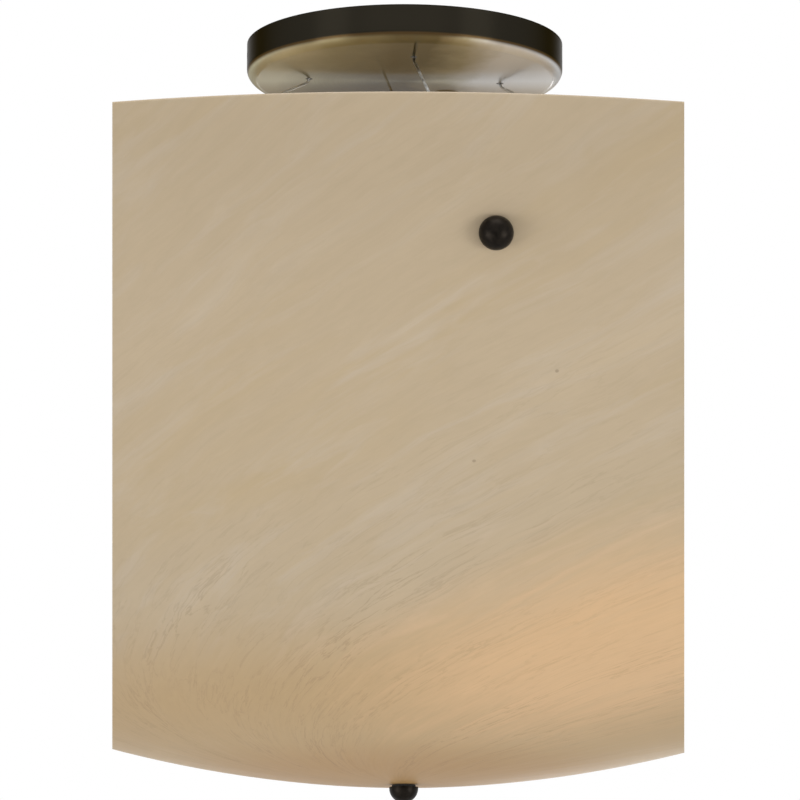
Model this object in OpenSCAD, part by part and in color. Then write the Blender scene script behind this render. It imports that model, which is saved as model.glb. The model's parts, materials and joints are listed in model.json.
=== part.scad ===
// Six-light bowl pendant hung on four steel cables.
// Origin: centre of the canopy on the ceiling plane. +Z is up, so the whole lamp lies below zero.
// The front of the lamp faces -Y.

/* [Canopy] */
// Diameter of the spun pan against the ceiling
canopy_d = 177.8; // [160:0.1:220]
// Height of the pan, from the ceiling to its face
canopy_h = 20.4; // [19:0.1:40]
// Thickness of the pan's sheet
canopy_sheet = 1.2; // [0.8:0.1:2]
// Outer radius of the rounded edge between wall and face
canopy_edge_r = 6; // [3:0.1:9]

/* [Mounting plate] */
// Diameter of the plate's disc
plate_d = 120; // [110:1:130]
// Thickness of the plate
plate_t = 2.5; // [2:0.1:4]
// Distance between the centres of the two ceiling slots
slot_spacing = 80; // [70:1:86]
// End-to-end length of a ceiling slot
slot_l = 24; // [12:1:26]
// Width of a ceiling slot
slot_w = 5; // [4:0.1:6]
// Diameter of the hole for the supply wires
wire_hole_d = 24; // [16:1:28]
// Width of the turned-down ears
ear_w = 16; // [12:1:20]
// How far the ears reach down
ear_drop = 14; // [12:0.5:15]
// Depth of the set screws below the ceiling
set_screw_z = 8; // [6:0.5:9]
// Diameter of the set screws
set_screw_d = 4; // [3:0.5:5]
// Length of the set screws
set_screw_l = 8; // [6:0.5:10]
// Across flats of the set screws' sockets
set_screw_key = 2; // [1.5:0.5:2.5]
// Diameter of the earthing screw
ground_screw_d = 4; // [3:0.5:5]
// Distance of the earthing screw from the centre
ground_screw_r = 45; // [38:1:50]

/* [Bowl] */
// Outer diameter of the bowl at its rim
bowl_d = 914.4; // [850:0.1:1000]
// Outer depth of the bowl, from rim to pole
bowl_depth = 274.6; // [250:0.1:320]
// Thickness of the bowl's wall
bowl_wall = 4; // [3:0.1:6]
// Fullness of the bowl's curve: 2 is an ellipse, less is leaner
bowl_fullness = 1.88; // [1.8:0.01:2.2]
// Distance from the ceiling down to the rim
rim_drop = 142; // [120:1:200]

/* [Cables] */
// Direction of the front cable, seen from above, counted from +X
front_angle = 275.3; // [260:0.1:290]
// Diameter of the circle on which the cables leave the canopy
cable_circle_d = 108; // [90:1:120]
// Diameter of a cable
cable_d = 1.6; // [1.2:0.1:2.4]
// Radius of a cable's bend where it leaves the canopy
cable_bend_r = 3; // [2.5:0.5:12]
// Distance from the rim down to the knobs
knob_drop = 61.4; // [45:0.1:90]
// Length of the swaged stop on a cable's upper end
stop_l = 8; // [6:0.5:10]
// Diameter of the swaged stop
stop_d = 5; // [4:0.1:6]
// Thickness of the bushing's flange inside the canopy
bushing_flange_t = 1; // [0.6:0.1:2]
// Diameter of the bushing's flange
bushing_flange_d = 8; // [7:0.1:10]
// Diameter of the bushing's neck in the canopy's hole
bushing_neck_d = 4; // [3.6:0.1:5]

/* [Terminals] */
// Diameter of the swaged sleeve round a cable's lower end
sleeve_d = 5; // [4:0.1:6]
// Length of the sleeve
sleeve_l = 24; // [16:1:32]
// Diameter of the shoulder inside the bowl
shoulder_d = 12; // [9:0.1:14]
// Thickness of the shoulder
shoulder_t = 3; // [2:0.1:5]
// Diameter of the threaded studs that carry the knobs
stud_d = 6; // [5:0.1:7]
// Length of stud inside a knob
stud_grip = 5; // [4:0.1:6]
// Diameter of the holes in the bowl
bowl_hole_d = 7.5; // [7.2:0.1:8.5]

/* [Knobs and washers] */
// Diameter of the half-ball knobs and of the finial
knob_d = 15.9; // [14:0.1:20]
// Height of the short cylinder under a knob's dome
knob_skirt = 0.6; // [0.4:0.1:2]
// Diameter of the washers inside the bowl
inner_washer_d = 16; // [13:0.1:18]
// Thickness of the washers inside the bowl
inner_washer_t = 1.5; // [1:0.1:3]
// Diameter of the washers under the knobs
outer_washer_d = 13; // [11:0.1:13.5]
// Thickness of the washers under the knobs
outer_washer_t = 1; // [0.6:0.1:2]

/* [Bowl seat] */
// Diameter of the rubber gasket at the bowl's pole
gasket_d = 40; // [30:1:60]
// Thickness of the gasket
gasket_t = 3; // [2:0.1:5]
// Diameter of the steel plate between gasket and cluster
seat_plate_d = 80; // [64:1:90]
// Thickness of the seat plate
seat_plate_t = 2.5; // [1.5:0.1:4]

/* [Cluster] */
// Diameter of the cluster body at its floor
cluster_d = 110; // [104:1:120]
// Height of the cluster body
cluster_h = 40; // [38:1:46]
// Thickness of the cluster's sheet
cluster_sheet = 1.5; // [1:0.1:2]
// Upward tilt of the lamp arms
arm_tilt = 20; // [14:1:24]
// Height of the lamp arms above the cluster's floor
arm_height = 24; // [22:1:26]
// Direction of the first lamp arm from the front cable
arm_turn = 30; // [15:1:45]
// Outer diameter of a lamp arm
arm_d = 10; // [9:0.1:11]
// Bore of a lamp arm
arm_bore_d = 7.5; // [6:0.1:8]
// Visible length of a lamp arm between wall and lampholder
arm_l = 14; // [10:1:20]
// Across flats of the arm nuts
arm_nut_af = 17; // [15:0.5:18]
// Thickness of the arm nuts
arm_nut_t = 3; // [2:0.1:4]
// Width of the flange under the cover
cover_flange_w = 10; // [8:0.5:12]
// Diameter of the cover screws
cover_screw_d = 3; // [2.5:0.1:3.5]
// Diameter of the terminal block
block_d = 34; // [30:1:38]
// Diameter of the opening in the terminal block
block_bore_d = 16; // [14:0.5:18]
// Height of the terminal block
block_h = 18; // [17:0.5:20]
// Diameter of the lamp leads
lead_d = 3.6; // [2.5:0.1:4.5]

/* [Lampholders] */
// Outer diameter of a lampholder at its mouth
holder_d = 38; // [36:0.1:42]
// Outer diameter of a lampholder's base
holder_base_d = 30; // [28:0.1:34]
// Length of the lampholder's base
holder_base_l = 14; // [12:0.1:18]
// Overall length of a lampholder
holder_l = 46; // [45:0.1:50]
// Diameter of the lampholder's cavity
cavity_d = 31.4; // [31:0.1:34]
// Bore of the threaded shell
shell_bore_d = 26.7; // [26.6:0.1:27.4]
// Thickness of the threaded shell's sheet
shell_sheet = 0.8; // [0.5:0.1:1]
// Length of the threaded shell
shell_l = 26; // [22:0.5:28]

/* [Bulbs] */
// Diameter of a bulb's threaded cap
cap_d = 26; // [25.6:0.1:26.2]
// Length of the cap, from its tip to the glass
cap_l = 28.7; // [27:0.1:30]
// Diameter of a bulb's glass
bulb_d = 60; // [50:1:64]
// Length of the glass, from cap to crown
glass_l = 80; // [76:1:90]
// Diameter of the glass where it meets the cap
neck_d = 26.4; // [24:0.1:27]
// Thickness of the glass
glass_t = 0.8; // [0.5:0.1:1.2]

/* [Cord glands] */
// Bore of the glands for the supply cord
gland_bore_d = 6.6; // [5:0.1:7.5]
// Diameter of the glands' threaded body
gland_d = 10; // [9:0.1:11]
// Diameter of the glands' head
gland_head_d = 14; // [13:0.1:16]
// Height of the glands' head
gland_head_h = 4; // [3:0.1:6]
// Length of thread behind the sheet
gland_thread_l = 8; // [6:0.5:9]
// Distance of the canopy's gland from the centre
gland_r = 48; // [42:1:56]
// Direction of the canopy's gland from the front cable
gland_turn = 145; // [130:1:155]

/* [Fits] */
// Radial clearance of threads and running fits
running_fit = 0.05; // [0.03:0.01:0.1]
// Gap between a soft washer and the surface that it seats on
seat_fit = 0.2; // [0.1:0.05:0.3]
// Gap between flat parts that only rest against each other
rest_fit = 0.05; // [0.02:0.01:0.1]
// Gap between the canopy's wall and the ears
ear_fit = 0.5; // [0.3:0.1:1]

/* [Hidden] */
$fn = 96;

// Overlap that makes a cut pass cleanly through a face
cut = 1;
cable_count = 4;
lamp_count = 6;
ear_count = 2;

bronze = "#3b322b";
dark_bronze = "#1d1a18";
zinc = "#a9adb0";
steel = "#c9ccce";
alabaster = "#c9b38f";
rubber_black = "#26262a";
brass = "#b08d4c";
porcelain = "#ece8df";
nylon = "#3a3a3c";
frosted = "#f3efe6";
earth_green = "#3f7a45";

// Thread that stands out past a nut, or is drilled deeper than its screw
thread_tail = 1.5;

// Canopy and mounting plate
canopy_r = canopy_d / 2;
ear_r = canopy_r - canopy_sheet - ear_fit;
ear_step = 1.5;
arm_w = ear_w - 2 * ear_step;
screw_recess = 0.3;
ear_angles = [for (k = [0:ear_count - 1]) front_angle + 90 + k * 360 / ear_count];
gland_angle = front_angle + gland_turn;
gland_nut_af = gland_d + 4;
ground_turn = -45;
stop_cap = 1;
stop_z = -canopy_h + canopy_sheet + bushing_flange_t + 2 * rest_fit;

// Bowl curve: half a superellipse, turned about the Z axis
curve_steps = 56;
hole_reach = 3 * bowl_wall;
bowl_r = bowl_d / 2;
rim_z = -rim_drop;
pole_z = rim_z - bowl_depth;
function curve_point(a, r, depth) =
    [r * pow(cos(a), 2 / bowl_fullness), -depth * pow(sin(a), 2 / bowl_fullness)];
function curve(r, depth) =
    [for (i = [0:curve_steps]) curve_point(90 * i / curve_steps, r, depth)];
function curve_r(drop, r, depth) =
    r * pow(1 - pow(drop / depth, bowl_fullness), 1 / bowl_fullness);
function curve_rise(x, r, depth) =
    depth * (1 - pow(1 - pow(x / r, bowl_fullness), 1 / bowl_fullness));

// Place and direction of the knobs: square to the cables, which pull square to the wall
seat_r = curve_r(knob_drop, bowl_r, bowl_depth);
seat_z = rim_z - knob_drop;
drop_share = knob_drop / bowl_depth;
wall_tilt = atan(bowl_r / bowl_depth * pow(drop_share, bowl_fullness - 1)
    * pow(1 - pow(drop_share, bowl_fullness), 1 / bowl_fullness - 1));
bend_r = cable_circle_d / 2 + cable_bend_r;
bend_z = -canopy_h;
seat_run = seat_r - bend_r;
seat_fall = bend_z - seat_z;
seat_distance = norm([seat_run, seat_fall]);
cable_slope = atan2(seat_fall, seat_run) - asin(cable_bend_r / seat_distance);
straight_l = sqrt(pow(seat_distance, 2) - pow(cable_bend_r, 2));
seat_skew = abs(wall_tilt - cable_slope);

// The bend is a hair thinner than the straight legs, which reach into it a little
bend_undersize = 0.02;
leg_overlap = sqrt(cable_bend_r * bend_undersize) / 2;

// Stack through the bowl's wall, counted outward from its outer face
outer_gap = seat_fit + outer_washer_d / 2 * tan(seat_skew);
inner_gap = seat_fit + inner_washer_d / 2 * tan(seat_skew);
knob_base = outer_gap + outer_washer_t + rest_fit;
stud_end = knob_base + stud_grip;
inner_washer_top = -bowl_wall - inner_gap;
shoulder_top = inner_washer_top - inner_washer_t - rest_fit;
sleeve_end = shoulder_top - shoulder_t - sleeve_l;
bore_end = shoulder_top - shoulder_t;
cable_end = bore_end - rest_fit;

// Stack at the bowl's pole, counted upward from its outer face
gasket_z = pole_z + bowl_wall
    + curve_rise(gasket_d / 2, bowl_r - bowl_wall, bowl_depth - bowl_wall) + rest_fit;
seat_plate_z = gasket_z + gasket_t;
cluster_z = seat_plate_z + seat_plate_t;
centre_nut_af = 10;
centre_nut_t = 5;
centre_stud_top = cluster_z + cluster_sheet + centre_nut_t + thread_tail;

// Cluster body: a cone whose wall stands square to the tilted arms
cluster_r = cluster_d / 2;
cluster_top_r = cluster_r - cluster_h * tan(arm_tilt);
cluster_top_z = cluster_z + cluster_h;
cone_sheet = cluster_sheet / cos(arm_tilt);
flange_r = cluster_top_r - cover_flange_w;
cover_t = 1.5;
cover_screw_count = 3;
cover_screw_head_d = 1.9 * cover_screw_d;
cover_screw_inset = 1;
cover_screw_r = cluster_top_r - cover_flange_w / 2 - cover_screw_inset;
arm_r = cluster_r - arm_height * tan(arm_tilt);
arm_nut_r = arm_nut_af / 2 / cos(30);
wall_inner_r = arm_r - cone_sheet;
inner_nut_gap = wall_inner_r - sqrt(pow(wall_inner_r, 2) - pow(arm_nut_r, 2)) + rest_fit;
inner_nut_top = -cluster_sheet - inner_nut_gap;
arm_start = inner_nut_top - arm_nut_t - thread_tail;
arm_grip = 8;
arm_end = arm_l + arm_grip;

// Lampholder and bulb, counted outward from the cluster's wall
cavity_floor = arm_l + holder_base_l;
contact_t = 2.5;
contact_d = 9;
contact_gap = 2;
cap_fit = 0.3;
cap_start = cavity_floor + contact_t + cap_fit;
glass_start = cap_start + cap_l;
glass_r = bulb_d / 2;
ball_z = glass_l - glass_r;
neck_steps = 12;
ball_steps = 20;
join_angle = 53;
join_r = glass_r * sin(join_angle);
blend_l = ball_z - glass_r * cos(join_angle);

// Terminal block's screws
block_screw_r = (block_d + block_bore_d) / 4;
block_screw_d = 2.6;
block_screw_l = 6;
block_screw_head_d = 4.4;

module at_seat(k) {
    rotate([0, 0, front_angle + k * 360 / cable_count])
        translate([seat_r, 0, seat_z])
            rotate([0, 90 + cable_slope, 0])
                children();
}

module at_hang_circle(k) {
    rotate([0, 0, front_angle + k * 360 / cable_count])
        translate([cable_circle_d / 2, 0, 0])
            children();
}

module at_lamp(k) {
    rotate([0, 0, front_angle + arm_turn + k * 360 / lamp_count])
        translate([arm_r, 0, cluster_z + arm_height])
            rotate([0, 90 - arm_tilt, 0])
                children();
}

module at_ear(angle) {
    rotate([0, 0, angle])
        translate([ear_r, 0, -set_screw_z])
            rotate([0, 90, 0])
                children();
}

module at_pole() {
    translate([0, 0, pole_z])
        rotate([180, 0, 0])
            children();
}

module at_gland() {
    rotate([0, 0, gland_angle])
        translate([gland_r, 0, -canopy_h])
            rotate([180, 0, 0])
                children();
}

module ring(outer_d, inner_d, h) {
    difference() {
        cylinder(d = outer_d, h = h);
        translate([0, 0, -cut])
            cylinder(d = inner_d, h = h + 2 * cut);
    }
}

module hex_nut(af, bore_d, h) {
    difference() {
        cylinder(d = af / cos(30), h = h, $fn = 6);
        translate([0, 0, -cut])
            cylinder(d = bore_d, h = h + 2 * cut);
    }
}

module pan_section(r, h, edge_r) {
    translate([0, -h + edge_r])
        square([r, h - edge_r]);
    translate([0, -h])
        square([r - edge_r, h]);
    translate([r - edge_r, -h + edge_r])
        circle(r = edge_r);
}

// Round plate against the ceiling, with two slots and two turned-down ears
module mounting_plate() {
    color(zinc)
    difference() {
        union() {
            translate([0, 0, -plate_t])
                linear_extrude(plate_t) {
                    circle(d = plate_d);
                    for (angle = ear_angles)
                        rotate(angle)
                            translate([0, -arm_w / 2])
                                square([ear_r - plate_t / 2, arm_w]);
                }
            for (angle = ear_angles)
                rotate([0, 0, angle])
                    translate([ear_r - plate_t, -ear_w / 2, -ear_drop])
                        cube([plate_t, ear_w, ear_drop]);
        }
        translate([0, 0, -plate_t - cut])
            cylinder(d = wire_hole_d, h = plate_t + 2 * cut);
        for (side = [-1, 1])
            translate([side * slot_spacing / 2, 0, -plate_t - cut])
                slot_cut();
        rotate([0, 0, front_angle + ground_turn])
            translate([ground_screw_r, 0, -plate_t - cut])
                cylinder(d = ground_screw_d, h = plate_t + 2 * cut);
        for (angle = ear_angles)
            at_ear(angle)
                translate([0, 0, -plate_t - cut])
                    cylinder(d = set_screw_d, h = plate_t + 2 * cut);
    }
}

module slot_cut() {
    for (side = [-1, 1])
        translate([side * (slot_l - slot_w) / 2, 0, 0])
            cylinder(d = slot_w, h = plate_t + 2 * cut);
    translate([-(slot_l - slot_w) / 2, -slot_w / 2, 0])
        cube([slot_l - slot_w, slot_w, plate_t + 2 * cut]);
}

// Pan-head screw for the earth wire
module ground_screw() {
    head_h = 2.4;
    color(earth_green)
    rotate([0, 0, front_angle + ground_turn])
        translate([ground_screw_r, 0, 0]) {
            translate([0, 0, -plate_t - head_h - rest_fit])
                cylinder(d = 2 * ground_screw_d, h = head_h);
            translate([0, 0, -plate_t - 2 * rest_fit])
                cylinder(d = ground_screw_d - 2 * running_fit, h = plate_t);
        }
}

// Spun pan with a flat face, a rounded edge and an open top
module canopy() {
    color(bronze)
    difference() {
        rotate_extrude()
            difference() {
                pan_section(canopy_r, canopy_h, canopy_edge_r);
                translate([0, cut])
                    pan_section(canopy_r - canopy_sheet, canopy_h - canopy_sheet + cut,
                        canopy_edge_r - canopy_sheet);
            }
        for (k = [0:cable_count - 1])
            at_hang_circle(k)
                translate([0, 0, -canopy_h - cut])
                    cylinder(d = bushing_neck_d + 2 * running_fit, h = canopy_sheet + 2 * cut);
        at_gland()
            translate([0, 0, -canopy_sheet - cut])
                cylinder(d = gland_d + 2 * running_fit, h = canopy_sheet + 2 * cut);
        for (angle = ear_angles)
            at_ear(angle)
                cylinder(d = set_screw_d + 4 * running_fit, h = ear_fit + canopy_sheet + cut);
    }
}

// Two socket set screws, sunk in the canopy's wall and threaded into the ears
module canopy_set_screws() {
    color(dark_bronze)
    for (angle = ear_angles)
        rotate([0, 0, angle])
            translate([canopy_r - screw_recess, 0, -set_screw_z])
                rotate([0, -90, 0])
                    difference() {
                        cylinder(d = set_screw_d - 2 * running_fit, h = set_screw_l);
                        translate([0, 0, -cut])
                            cylinder(d = set_screw_key / cos(30), h = cut + set_screw_d / 2,
                                $fn = 6);
                    }
}

// Bushing for the supply cord: head outside, threaded body through the sheet
module gland(sheet) {
    difference() {
        union() {
            cylinder(d = gland_head_d, h = gland_head_h);
            translate([0, 0, -sheet - gland_thread_l])
                cylinder(d = gland_d, h = sheet + gland_thread_l + gland_head_h / 2);
        }
        translate([0, 0, -sheet - gland_thread_l - cut])
            cylinder(d = gland_bore_d, h = sheet + gland_thread_l + gland_head_h + 2 * cut);
    }
}

module gland_nut(sheet) {
    nut_t = 3;
    translate([0, 0, -sheet - rest_fit - nut_t])
        hex_nut(gland_nut_af, gland_d + 2 * running_fit, nut_t);
}

module canopy_cord_gland() {
    color(nylon)
    at_gland()
        gland(canopy_sheet);
}

module canopy_gland_nut() {
    color(nylon)
    at_gland()
        gland_nut(canopy_sheet);
}

// Four flanged bushings that line the cable holes, flush with the canopy's face
module cable_bushings() {
    color(dark_bronze)
    for (k = [0:cable_count - 1])
        at_hang_circle(k)
            difference() {
                union() {
                    translate([0, 0, -canopy_h])
                        cylinder(d = bushing_neck_d, h = canopy_sheet + rest_fit);
                    translate([0, 0, -canopy_h + canopy_sheet + rest_fit])
                        cylinder(d = bushing_flange_d, h = bushing_flange_t);
                }
                translate([0, 0, -canopy_h - cut])
                    cylinder(d = cable_d + 2 * running_fit,
                        h = canopy_sheet + bushing_flange_t + 3 * cut);
            }
}

// Four swaged stops on the cables' upper ends
module cable_stops() {
    color(steel)
    for (k = [0:cable_count - 1])
        at_hang_circle(k)
            translate([0, 0, stop_z])
                difference() {
                    cylinder(d = stop_d, h = stop_l);
                    translate([0, 0, -cut])
                        cylinder(d = cable_d + 2 * running_fit, h = stop_l - stop_cap + cut);
                }
}

// One cable: upright through its bushing, one bend, then straight to its terminal
module cable(k) {
    color(steel) {
        at_hang_circle(k)
            translate([0, 0, bend_z - leg_overlap])
                cylinder(d = cable_d,
                    h = leg_overlap + stop_z - bend_z + stop_l - stop_cap - rest_fit);
        at_hang_circle(k)
            translate([cable_bend_r, 0, bend_z])
                rotate([90, 0, 0])
                    rotate([0, 0, 180])
                        rotate_extrude(angle = 90 - cable_slope)
                            translate([cable_bend_r, 0])
                                circle(d = cable_d - bend_undersize);
        at_seat(k)
            translate([0, 0, -straight_l - leg_overlap])
                cylinder(d = cable_d, h = leg_overlap + straight_l + cable_end);
    }
}

module cable_front() { cable(0); }
module cable_right() { cable(1); }
module cable_back() { cable(2); }
module cable_left() { cable(3); }

// Four swaged terminals: sleeve and shoulder inside the bowl, stud through its wall
module cable_terminals() {
    color(steel)
    for (k = [0:cable_count - 1])
        at_seat(k)
            difference() {
                union() {
                    translate([0, 0, shoulder_top - shoulder_t])
                        cylinder(d = shoulder_d, h = shoulder_t);
                    translate([0, 0, sleeve_end])
                        cylinder(d = sleeve_d, h = sleeve_l + shoulder_t / 2);
                    translate([0, 0, shoulder_top - shoulder_t / 2])
                        cylinder(d = stud_d, h = stud_end - shoulder_top + shoulder_t / 2);
                }
                translate([0, 0, sleeve_end - cut])
                    cylinder(d = cable_d + 2 * running_fit, h = sleeve_l + cut);
            }
}

// Four soft washers between the shoulders and the bowl
module inner_washers() {
    color(rubber_black)
    for (k = [0:cable_count - 1])
        at_seat(k)
            translate([0, 0, inner_washer_top - inner_washer_t])
                ring(inner_washer_d, stud_d + 2 * running_fit, inner_washer_t);
}

// Four soft washers between the bowl and the knobs
module outer_washers() {
    color(rubber_black)
    for (k = [0:cable_count - 1])
        at_seat(k)
            translate([0, 0, outer_gap])
                ring(outer_washer_d, stud_d + 2 * running_fit, outer_washer_t);
}

// Half-ball knob with a blind threaded bore
module knob() {
    color(dark_bronze)
    difference() {
        union() {
            cylinder(d = knob_d, h = knob_skirt);
            translate([0, 0, knob_skirt])
                intersection() {
                    sphere(d = knob_d);
                    translate([-knob_d / 2, -knob_d / 2, 0])
                        cube([knob_d, knob_d, knob_d / 2]);
                }
        }
        translate([0, 0, -cut])
            cylinder(d = stud_d + 2 * running_fit, h = stud_grip + cut + 4 * rest_fit);
    }
}

module side_knob(k) {
    at_seat(k)
        translate([0, 0, knob_base])
            knob();
}

module knob_front() { side_knob(0); }
module knob_right() { side_knob(1); }
module knob_back() { side_knob(2); }
module knob_left() { side_knob(3); }

// Wide open bowl of one wall thickness, with four side holes and one at the pole
module bowl() {
    inner = curve(bowl_r - bowl_wall, bowl_depth - bowl_wall);
    last = len(inner) - 1;
    color(alabaster)
    difference() {
        translate([0, 0, rim_z])
            rotate_extrude($fn = 180)
                polygon(concat(curve(bowl_r, bowl_depth), [for (i = [last:-1:0]) inner[i]]));
        for (k = [0:cable_count - 1])
            at_seat(k)
                translate([0, 0, -hole_reach])
                    cylinder(d = bowl_hole_d, h = 2 * hole_reach);
        at_pole()
            translate([0, 0, -hole_reach])
                cylinder(d = bowl_hole_d, h = 2 * hole_reach);
    }
}

// Rubber disc that spreads the cluster's weight on the bowl's pole
module bowl_gasket() {
    color(rubber_black)
    translate([0, 0, gasket_z])
        ring(gasket_d, stud_d + 4 * running_fit, gasket_t);
}

// Steel disc between the gasket and the cluster's floor
module seat_plate() {
    color(zinc)
    translate([0, 0, seat_plate_z])
        ring(seat_plate_d, stud_d + 4 * running_fit, seat_plate_t);
}

// Threaded stud from the cluster's nut, through the bowl, into the finial
module centre_stud() {
    color(zinc)
    translate([0, 0, pole_z - stud_end])
        cylinder(d = stud_d, h = centre_stud_top - pole_z + stud_end);
}

module centre_nut() {
    color(zinc)
    translate([0, 0, cluster_z + cluster_sheet])
        hex_nut(centre_nut_af, stud_d + 2 * running_fit, centre_nut_t);
}

module finial_washer() {
    color(rubber_black)
    at_pole()
        translate([0, 0, seat_fit])
            ring(outer_washer_d, stud_d + 2 * running_fit, outer_washer_t);
}

// Half-ball finial under the bowl, the same form as the side knobs
module finial() {
    at_pole()
        translate([0, 0, knob_base])
            knob();
}

// Open-topped cone with six arm holes, a stud hole and a flange for its cover
module cluster_body() {
    color(zinc)
    difference() {
        translate([0, 0, cluster_z])
            rotate_extrude()
                polygon([
                    [0, 0], [cluster_r, 0], [cluster_top_r, cluster_h], [flange_r, cluster_h],
                    [flange_r, cluster_h - cluster_sheet],
                    [cluster_top_r - cone_sheet + cluster_sheet * tan(arm_tilt),
                        cluster_h - cluster_sheet],
                    [cluster_r - cone_sheet - cluster_sheet * tan(arm_tilt), cluster_sheet],
                    [0, cluster_sheet]
                ]);
        translate([0, 0, cluster_z - cut])
            cylinder(d = stud_d + 4 * running_fit, h = cluster_sheet + 2 * cut);
        for (k = [0:lamp_count - 1])
            at_lamp(k)
                translate([0, 0, -2 * cluster_sheet])
                    cylinder(d = arm_d + 2 * running_fit, h = 4 * cluster_sheet);
        at_cover_screws()
            translate([0, 0, -cluster_sheet - cut])
                cylinder(d = cover_screw_d, h = cluster_sheet + 2 * cut);
    }
}

module at_cover_screws() {
    for (k = [0:cover_screw_count - 1])
        rotate([0, 0, front_angle + arm_turn + 180 / lamp_count + k * 360 / cover_screw_count])
            translate([cover_screw_r, 0, cluster_top_z])
                children();
}

// Flat cover with three screw holes and a hole for its cord gland
module cluster_cover() {
    color(zinc)
    difference() {
        translate([0, 0, cluster_top_z + rest_fit])
            ring(2 * cluster_top_r, gland_d + 2 * running_fit, cover_t);
        at_cover_screws()
            cylinder(d = cover_screw_d + 4 * running_fit, h = cover_t + cut);
    }
}

module cover_screws() {
    head_h = 1.8;
    shank_l = 6;
    color(steel)
    at_cover_screws()
        translate([0, 0, cover_t + 2 * rest_fit]) {
            cylinder(d = cover_screw_head_d, h = head_h);
            translate([0, 0, -shank_l])
                cylinder(d = cover_screw_d - 2 * running_fit, h = shank_l + head_h / 2);
        }
}

module at_cover_top() {
    translate([0, 0, cluster_top_z + cover_t + 2 * rest_fit])
        children();
}

module cluster_cord_gland() {
    color(nylon)
    at_cover_top()
        gland(cover_t + rest_fit);
}

module cluster_gland_nut() {
    color(nylon)
    at_cover_top()
        gland_nut(cover_t + rest_fit);
}

module at_block_screws() {
    for (k = [0:lamp_count - 1])
        rotate([0, 0, front_angle + arm_turn + k * 360 / lamp_count])
            translate([block_screw_r, 0, cluster_z + cluster_sheet + block_h + rest_fit])
                children();
}

// Ring-shaped block on the cluster's floor where the lamp leads end
module terminal_block() {
    color(porcelain)
    difference() {
        translate([0, 0, cluster_z + cluster_sheet + rest_fit])
            ring(block_d, block_bore_d, block_h);
        at_block_screws()
            translate([0, 0, -block_screw_l - thread_tail])
                cylinder(d = block_screw_d, h = block_h);
    }
}

module terminal_screws() {
    head_h = 1.5;
    color(brass)
    at_block_screws() {
        translate([0, 0, rest_fit])
            cylinder(d = block_screw_head_d, h = head_h);
        translate([0, 0, -block_screw_l])
            cylinder(d = block_screw_d - 2 * running_fit, h = block_screw_l + head_h / 2);
    }
}

// Six insulated leads, from the terminal block through the arms to the lampholders
module lamp_leads() {
    color(nylon)
    difference() {
        for (k = [0:lamp_count - 1])
            at_lamp(k)
                translate([0, 0, -arm_r])
                    cylinder(d = lead_d, h = arm_r + arm_end - rest_fit);
        translate([0, 0, cluster_z])
            cylinder(d = block_d + 2 * rest_fit, h = cluster_h);
    }
}

// Six threaded tubes that carry the lampholders
module lamp_arms() {
    color(zinc)
    for (k = [0:lamp_count - 1])
        at_lamp(k)
            translate([0, 0, arm_start])
                ring(arm_d, arm_bore_d, arm_end - arm_start);
}

// Two hex nuts on each arm, one on either side of the cluster's wall
module arm_nuts() {
    color(zinc)
    for (k = [0:lamp_count - 1])
        at_lamp(k) {
            translate([0, 0, inner_nut_top - arm_nut_t])
                hex_nut(arm_nut_af, arm_d + 2 * running_fit, arm_nut_t);
            translate([0, 0, rest_fit])
                hex_nut(arm_nut_af, arm_d + 2 * running_fit, arm_nut_t);
        }
}

// Porcelain cup with a stepped base and a threaded socket for its arm
module lampholder(k) {
    mouth_chamfer = 1.5;
    shoulder_l = 4;
    color(porcelain)
    at_lamp(k)
        difference() {
            translate([0, 0, arm_l])
                rotate_extrude()
                    polygon([
                        [0, 0], [holder_base_d / 2 - mouth_chamfer, 0],
                        [holder_base_d / 2, mouth_chamfer],
                        [holder_base_d / 2, holder_base_l - shoulder_l],
                        [holder_d / 2, holder_base_l], [holder_d / 2, holder_l - mouth_chamfer],
                        [holder_d / 2 - mouth_chamfer, holder_l], [0, holder_l]
                    ]);
            translate([0, 0, cavity_floor])
                cylinder(d = cavity_d, h = holder_l);
            translate([0, 0, arm_l - cut])
                cylinder(d = arm_d + 2 * running_fit, h = arm_grip + cut + rest_fit);
        }
}

module lampholder_1() { lampholder(0); }
module lampholder_2() { lampholder(1); }
module lampholder_3() { lampholder(2); }
module lampholder_4() { lampholder(3); }
module lampholder_5() { lampholder(4); }
module lampholder_6() { lampholder(5); }

// Six threaded shells, each with a ring-shaped floor screwed to its lampholder
module screw_shells() {
    color(brass)
    for (k = [0:lamp_count - 1])
        at_lamp(k)
            translate([0, 0, cavity_floor + rest_fit])
                difference() {
                    cylinder(d = shell_bore_d + 2 * shell_sheet, h = shell_l);
                    translate([0, 0, shell_sheet])
                        cylinder(d = shell_bore_d, h = shell_l);
                    translate([0, 0, -cut])
                        cylinder(d = contact_d + 2 * contact_gap, h = shell_l);
                }
}

module lamp_contacts() {
    color(brass)
    for (k = [0:lamp_count - 1])
        at_lamp(k)
            translate([0, 0, cavity_floor + rest_fit])
                cylinder(d = contact_d, h = contact_t);
}

// Bulb cap: contact tip, insulating cone, threaded sleeve and collar
module bulb_cap(k) {
    tip_d = 9;
    tip_l = 1.5;
    cone_inset = 4;
    cone_l = 4;
    collar_l = 1.5;
    color(steel)
    at_lamp(k)
        translate([0, 0, cap_start])
            rotate_extrude()
                polygon([
                    [0, 0], [tip_d / 2, 0], [tip_d / 2, tip_l],
                    [cap_d / 2 - cone_inset, tip_l + cone_l / 2],
                    [cap_d / 2, tip_l + cone_l], [cap_d / 2, cap_l - collar_l],
                    [neck_d / 2, cap_l - collar_l], [neck_d / 2, cap_l], [0, cap_l]
                ]);
}

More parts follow.
